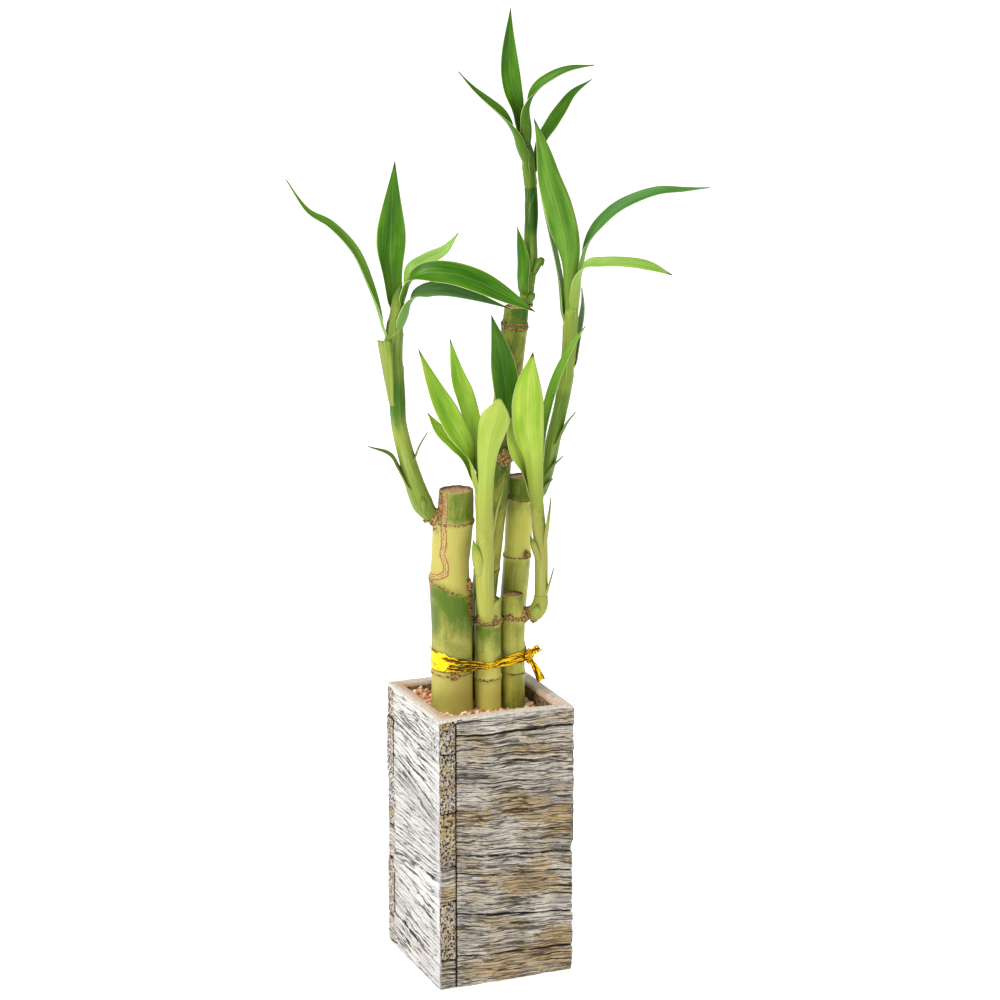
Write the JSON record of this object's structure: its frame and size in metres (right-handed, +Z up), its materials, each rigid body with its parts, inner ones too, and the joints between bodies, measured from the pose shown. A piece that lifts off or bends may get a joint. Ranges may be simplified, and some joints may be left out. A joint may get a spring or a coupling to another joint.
{
  "type": "lucky bamboo plant",
  "caption": "Cut bamboo-like canes with leafy shoots, tied with a ribbon, standing in gravel in a square pot cast to look like stacked weathered boards",
  "frame": {"origin": "centre of the flat underside of the pot", "axes": "+Z is up, +X is to the right and +Y is to the back of the face of the pot that is seen most squarely in the picture; the left leaf reaches towards -X"},
  "size_m": [0.1786, 0.0696, 0.4356],
  "materials": {
    "pot": "matte",
    "gravel": "matte",
    "cane": "satin",
    "shoot": "satin",
    "leaf_dark": "satin",
    "leaf_light": "satin",
    "ribbon": "gloss"
  },
  "bodies": {
    "root": {"pot": "pot", "gravel": "gravel", "cane_left": "cane", "cane_front": "cane", "cane_right": "cane", "cane_back": "cane", "cane_tall": "cane", "shoot_left": "shoot", "shoot_front": "shoot", "shoot_right": "shoot", "shoot_back": "shoot", "shoot_tall": "shoot", "leaf_left_1": "leaf_dark", "leaf_left_2": "leaf_dark", "leaf_left_3": "leaf_dark", "leaf_left_4": "leaf_dark", "leaf_left_5": "leaf_dark", "leaf_front_1": "leaf_light", "leaf_front_2": "leaf_light", "leaf_front_3": "leaf_light", "leaf_front_4": "leaf_light", "leaf_right_1": "leaf_light", "leaf_right_2": "leaf_light", "leaf_right_3": "leaf_light", "leaf_right_4": "leaf_light", "leaf_back_1": "leaf_dark", "leaf_back_2": "leaf_dark", "leaf_back_3": "leaf_dark", "leaf_back_4": "leaf_dark", "leaf_back_5": "leaf_dark", "leaf_tall_1": "leaf_dark", "leaf_tall_2": "leaf_dark", "leaf_tall_3": "leaf_dark", "leaf_tall_4": "leaf_dark", "leaf_tall_5": "leaf_dark", "ribbon_tie": "ribbon"}
  },
  "joints": []
}
